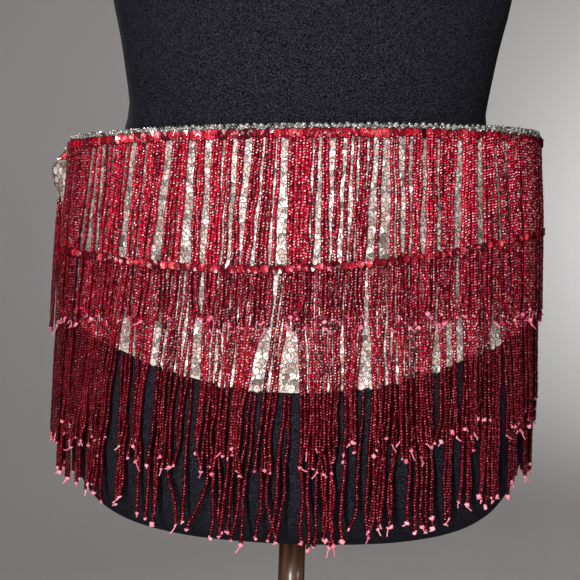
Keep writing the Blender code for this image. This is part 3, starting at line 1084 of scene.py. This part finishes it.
def tubes(paths, out, radius):
    """Points and faces of thin tubes along many paths at once, closed at both ends."""
    count, steps = paths.shape[:2]
    direction = unit(np.gradient(paths, axis=1))
    across = square_to(direction, np.repeat(out[:, None], steps, axis=1) + 0.01)
    third = np.cross(direction, across)
    turn = np.arange(TAIL_SIDES) * 2 * pi / TAIL_SIDES
    ring = np.cos(turn)[:, None] * across[:, :, None] + np.sin(turn)[:, None] * third[:, :, None]
    points = paths[:, :, None] + ring * radius
    caps = np.array([[3, 2, 1, 0], [0, 1, 2, 3] + np.full(4, (steps - 1) * TAIL_SIDES)])
    start = np.arange(count)[:, None, None] * steps * TAIL_SIDES
    return points, [(start + np.concatenate([wall_faces(steps, TAIL_SIDES), caps])).reshape(-1, 4)]


def tail_paths(ends, directions, out, reach, sideways, curl_up):
    """Bent paths that leave each end downwards, drift to one side and curl up again at the tip."""
    share = np.linspace(0.0, 1.0, TAIL_POINTS)[None, :, None]
    reach, sideways, curl_up = reach[:, None, None], sideways[:, None, None], curl_up[:, None, None]
    drop = directions[:, None] * reach * (share - curl_up * share**2)
    drift_off = along_from(out)[:, None] * reach * sideways * share**1.4
    return ends[:, None] + drop + drift_off + out[:, None] * reach * 0.25 * share**2


# %% Tails on both panels
def thread_tails(name, tips):
    ends, directions, angles, knots = (np.array(column) for column in zip(*tips))
    directions, out = unit(directions), outward_from(angles)
    count = len(ends)
    size_share, tone, shown = knots.T
    size_share = size_share * np.where(rng.random(count) < shown, 1.0, SLIPPED_SIZE)
    tone = np.clip(tone + rng.normal(0.0, 0.15, count), 0.0, 1.0)
    long_ones = rng.random(count) < LONG_SHARE
    reach = np.where(long_ones, rng.uniform(*LONG_TAIL, count), rng.uniform(*SHORT_TAIL, count))
    sideways = rng.uniform(-0.9, 0.9, count)
    curl_up = rng.uniform(0.0, 0.6, count)
    paths = tail_paths(ends + directions * TAIL_START, directions, out, reach, sideways, curl_up)
    points, faces = tubes(paths, out, TAIL_RADIUS)
    knot_points, knot_faces, size = beads(
        ends + directions * KNOT_PLACE,
        unit(directions + along_from(out) * rng.normal(0.0, 0.8, (count, 1))),
        out,
        KNOT_RADIUS * size_share * rng.choice([0.5, 0.8, 1.0, 1.4], count),
        KNOT_HALF_LENGTH * rng.uniform(0.7, 1.5, (count, 1)),
        rng.uniform(0, pi, count),
    )
    shift = points.size // 3
    all_points = np.concatenate([points.reshape(-1, 3), knot_points.reshape(-1, 3)])
    all_faces = faces + [group + shift for group in knot_faces]
    tones = np.concatenate([np.repeat(tone, shift // count), np.repeat(tone, size)])
    return add_piece(name, all_points, all_faces, pink_thread, "pink_thread", tone=tones)


tails = {side: thread_tails(f"thread_tails_{side}", strand_ends[side]) for side in PANELS}

# %% [markdown]
# ## The size of the cut
#
# Each panel was one flat piece before it was sewn: as long as the cloth is round the hip, and cut to a
# curve below. Its flat area is the sum of narrow upright strips.

def flat_cut(ends):
    length, along, angles = cloth_length(ends)
    heights = row_height(TOP_EDGE, angles) - row_height(LOWER_EDGE, angles)
    area = float(((heights[1:] + heights[:-1]) / 2 * np.diff(along)).sum())
    return float(heights.max()), float(length), area


for side in PANELS:
    width, length, area = flat_cut(cloth_ends[side])
    print(f"{side} panel: cut {width:.3f} by {length:.3f} m, {area:.4f} square metres")

# %% [markdown]
# ## The dress form
#
# The form is a padded torso without limbs, covered in jersey. It is lofted from a short table of
# sections, each with its half width and its depth to the front and the back, on a smooth curve through
# them. Front and back are half ovals of their own, which meet at the widest line.

# %% Sections of the form
FORM_BOTTOM = 0.722
FORM_SIDES = 84
FORM_RINGS = 90
CLOSE_RINGS_TO = 0.05
Section = namedtuple("Section", "rise half_width front back")
FORM_SECTIONS = (
    Section(0.000, 0.0600, 0.0360, 0.0360),
    Section(0.003, 0.0920, 0.0560, 0.0560),
    Section(0.010, 0.1220, 0.0750, 0.0750),
    Section(0.021, 0.1435, 0.0890, 0.0900),
    Section(0.036, 0.1575, 0.0985, 0.1000),
    Section(0.056, 0.1675, 0.1065, 0.1080),
    Section(0.082, 0.1728, 0.1125, 0.1130),
    Section(0.116, 0.1750, 0.1151, 0.1151),
    Section(0.150, 0.1742, 0.1137, 0.1138),
    Section(0.190, 0.1695, 0.1110, 0.1112),
    Section(0.235, 0.1590, 0.1060, 0.1050),
    Section(0.275, 0.1460, 0.1000, 0.0980),
    Section(0.318, 0.1348, 0.0955, 0.0940),
    Section(0.345, 0.1380, 0.0965, 0.0955),
    Section(0.375, 0.1435, 0.0990, 0.0970),
    Section(0.403, 0.1500, 0.1030, 0.0985),
    Section(0.450, 0.1570, 0.1140, 0.1000),
    Section(0.503, 0.1610, 0.1270, 0.1010),
    Section(0.560, 0.1640, 0.1170, 0.1060),
    Section(0.610, 0.1700, 0.0990, 0.1040),
    Section(0.645, 0.1660, 0.0840, 0.0930),
    Section(0.668, 0.1420, 0.0740, 0.0820),
    Section(0.688, 0.1060, 0.0640, 0.0700),
    Section(0.705, 0.0760, 0.0565, 0.0600),
    Section(0.725, 0.0620, 0.0540, 0.0560),
    Section(0.765, 0.0570, 0.0530, 0.0540),
)


def form_section(rise):
    """The form's half width and depths at a height above its underside, on a smooth curve."""
    rises = [section.rise for section in FORM_SECTIONS]
    index = min(max(int(np.searchsorted(rises, rise)) - 1, 0), len(rises) - 2)
    near = (max(index - 1, 0), index, index + 1, min(index + 2, len(rises) - 1))
    before, low, high, after = (np.array(FORM_SECTIONS[place]) for place in near)
    span = high[0] - low[0]
    share = (rise - low[0]) / span
    slope_low = (high - before) / (high[0] - before[0]) * span
    slope_high = (after - low) / (after[0] - low[0]) * span
    section = (2 * share**3 - 3 * share**2 + 1) * low + (share**3 - 2 * share**2 + share) * slope_low
    section = section + (3 * share**2 - 2 * share**3) * high + (share**3 - share**2) * slope_high
    return section[1:]


# %% Torso
def stacked_faces(rings, size):
    """Faces of a closed stack of rings, lowest first."""
    foot = np.arange(size)[::-1][None]
    head = (np.arange(size) + (rings - 1) * size)[None]
    return [wall_faces(rings, size), foot, head]


def level_ring(height, sides, half_width, front, back):
    """Points of a level oval, with a depth of its own to the front and to the back."""
    turn = np.arange(sides) * 2 * pi / sides
    depth = np.where(np.cos(turn) > 0, front, back)
    return np.stack([half_width * np.sin(turn), -depth * np.cos(turn), np.full(sides, height)], axis=-1)


def torso():
    top = FORM_SECTIONS[-1].rise
    close = np.linspace(0.0, 1.0, FORM_RINGS // 3) ** 2 * CLOSE_RINGS_TO
    rises = np.concatenate([close, np.linspace(CLOSE_RINGS_TO, top, FORM_RINGS - len(close) + 1)[1:]])
    rings = [level_ring(FORM_BOTTOM + rise, FORM_SIDES, *form_section(rise)) for rise in rises]
    faces = stacked_faces(len(rings), FORM_SIDES)
    made = add_piece("dress_form_torso", rings, faces, black_jersey, "black_jersey")
    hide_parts("form_torso")
    return made


form = torso()

# %% [markdown]
# ## The turned stand
#
# Cap, pole and foot come off a lathe, so each is a profile of radius and height swept round. The corners
# of a turned profile are always a little broken: each one is cut into two, with a short slope between.

# %% Cap, pole and foot
TURNED_SIDES = 80
Turn = namedtuple("Turn", "radius height")
NECK_CAP = (
    Turn(0.0480, 0.000),
    Turn(0.0520, 0.003),
    Turn(0.0520, 0.009),
    Turn(0.0460, 0.014),
    Turn(0.0200, 0.018),
    Turn(0.0130, 0.024),
    Turn(0.0165, 0.034),
    Turn(0.0150, 0.044),
    Turn(0.0070, 0.050),
)
FOOT = (
    Turn(0.1860, 0.000),
    Turn(0.1900, 0.004),
    Turn(0.1900, 0.016),
    Turn(0.1840, 0.022),
    Turn(0.0600, 0.030),
    Turn(0.0300, 0.038),
    Turn(0.0240, 0.060),
    Turn(0.0200, 0.064),
)
POLE_RADIUS = 0.0100
POLE_BASE = FOOT[-1].height + SEAM_GAP
POLE = (Turn(POLE_RADIUS, 0.0), Turn(POLE_RADIUS, FORM_BOTTOM - SEAM_GAP - POLE_BASE))
CORNER_ROUNDS = 2


def rounded(profile):
    """Each inner corner is cut off twice, which softens it without moving its neighbours."""
    line = np.array(profile)
    for _ in range(CORNER_ROUNDS):
        starts = line[:-1] * 0.75 + line[1:] * 0.25
        ends = line[:-1] * 0.25 + line[1:] * 0.75
        inner = np.stack([starts, ends], axis=1).reshape(-1, 2)
        line = np.concatenate([line[:1], inner, line[-1:]])
    return line


def turned(name, profile, base, replaced):
    rings = [level_ring(base + rise, TURNED_SIDES, *[radius] * 3) for radius, rise in rounded(profile)]
    made = add_piece(name, rings, stacked_faces(len(rings), TURNED_SIDES), dark_wood, "dark_wood")
    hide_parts(replaced)
    return made


turned("turned_neck_cap", NECK_CAP, FORM_BOTTOM + FORM_SECTIONS[-1].rise + SEAM_GAP, "form_neck_cap")
turned("turned_pole", POLE, POLE_BASE, "form_pole")
turned("turned_foot", FOOT, 0.0, "form_base")

# %% [markdown]
# ## Stage, lights and camera
#
# The stage is one pale bowl: a floor that curves up into a wall all round, so no edge shows from any
# side. One soft lamp from the upper left is the main light, and a wide one fills the right side. A narrow
# upright strip near the camera puts one small highlight on every bead, at whatever height it hangs. The
# camera is level, close in front of the belt, and turned two degrees, as in the photograph.

# %% Stage
STAGE_FLAT = 3.6
STAGE_CURVE = 2.6
STAGE_TOP = 6.0
STAGE_SIDES = 96


def stage_finish():
    finish, tree, shader = start_finish("pale studio paint", 0.9, specular=0.2)
    cloudy = noise(tree, own_space(tree), 0.8).outputs["Fac"]
    tint = ramp(tree, cloudy, [(0.3, (0.62, 0.585, 0.57, 1)), (0.7, (0.66, 0.625, 0.61, 1))])
    # To glossy rays the paint is dark grey: painted shade in every reflection of the stage
    way = node(tree, "ShaderNodeLightPath")
    seen = mix_colours(tree, way.outputs["Is Glossy Ray"], tint, (0.10, 0.10, 0.10, 1))
    tree.links.new(seen, shader.inputs["Base Color"])
    return finish


def stage_bowl():
    bends = np.linspace(0.0, pi / 2, 24)
    profile = [(0.02, 0.0), (STAGE_FLAT / 2, 0.0)]
    profile += [(STAGE_FLAT + STAGE_CURVE * sin(b), STAGE_CURVE * (1 - cos(b))) for b in bends]
    profile.append((STAGE_FLAT + STAGE_CURVE, STAGE_TOP))
    rings = [level_ring(height, STAGE_SIDES, *[radius] * 3) for radius, height in profile]
    walls, foot, head = stacked_faces(len(rings), STAGE_SIDES)
    mesh = bpy.data.meshes.new("studio_bowl")
    faces = walls[:, ::-1].tolist() + foot[:, ::-1].tolist()
    mesh.from_pydata(np.concatenate(rings).tolist(), [], faces)
    mesh.polygons.foreach_set("use_smooth", np.full(len(faces), True))
    mesh.materials.append(stage_finish())
    bowl = bpy.data.objects.new("studio_bowl", mesh)
    bpy.context.scene.collection.objects.link(bowl)
    return bowl


bowl = stage_bowl()
print("stage:", bowl.name)


# %% Lights
def soft_lamp(name, place, aim, size, power, colour, height=None):
    """A round lamp, or an upright strip where a height is given."""
    lamp = bpy.data.lights.new(name, "AREA")
    lamp.shape = "RECTANGLE" if height else "DISK"
    lamp.size = size
    if height:
        lamp.size_y = height
    lamp.energy = power
    lamp.color = colour
    made = bpy.data.objects.new(name, lamp)
    direction = Vector(aim) - Vector(place)
    made.location = place
    made.rotation_mode = "QUATERNION"
    made.rotation_quaternion = direction.to_track_quat("-Z", "Y")
    made.visible_camera = False
    bpy.context.scene.collection.objects.link(made)
    return made


AIM = (0.0, -0.08, 0.92)
soft_lamp("main lamp", (-0.75, -2.1, 2.15), AIM, 0.40, 24.0, (1.0, 0.97, 0.93))
soft_lamp("strip lamp", (-0.30, -1.75, 0.98), (0.0, -0.08, 0.90), 0.07, 46.0, (1.0, 0.98, 0.96), height=1.1)
soft_lamp("fill lamp", (2.3, -1.3, 1.7), AIM, 0.8, 15.0, (0.93, 0.97, 1.0))
soft_lamp("back lamp", (-1.2, 2.4, 2.4), AIM, 1.0, 50.0, (1.0, 0.98, 0.95))
wall_lamp = soft_lamp("wall lamp", (2.6, 4.5, 1.7), (1.9, 6.2, 0.9), 0.8, 34.0, (0.91, 0.97, 1.0))
wall_lamp.data.spread = radians(110.0)

world = bpy.data.worlds.new("studio air")
world.use_nodes = True
world.node_tree.nodes["Background"].inputs["Color"].default_value = (0.86, 0.90, 0.95, 1)
world.node_tree.nodes["Background"].inputs["Strength"].default_value = 0.22
bpy.context.scene.world = world
bpy.context.scene.view_settings.view_transform = "Standard"
print("lamps and air are set")

# %% Camera
PICTURE_WIDTH = 580
FOCAL_PIXELS = 1783.0
SENSOR = 36.0
CAMERA_PLACE = (-0.0085, -1.35, 0.909)
CAMERA_ROLL = radians(2.0)

camera_data = bpy.data.cameras.new("camera")
camera_data.sensor_width = SENSOR
camera_data.lens = FOCAL_PIXELS / PICTURE_WIDTH * SENSOR
camera_data.clip_start = 0.05
camera = bpy.data.objects.new("camera", camera_data)
level = Matrix.Translation(CAMERA_PLACE) @ Matrix.Rotation(pi / 2, 4, "X")
camera.matrix_world = level @ Matrix.Rotation(CAMERA_ROLL, 4, "Z")
bpy.context.scene.collection.objects.link(camera)
bpy.context.scene.camera = camera
print(f"the lens is {camera_data.lens:.1f} mm")

# %% [markdown]
# ## Sizes and the last line
#
# The last line counts the triangles that the lesson has added. The dressed part may stand only a little
# outside the imported solids.

# %% Count the triangles and finish
print("triangles added:", sum(made_triangles.values()))
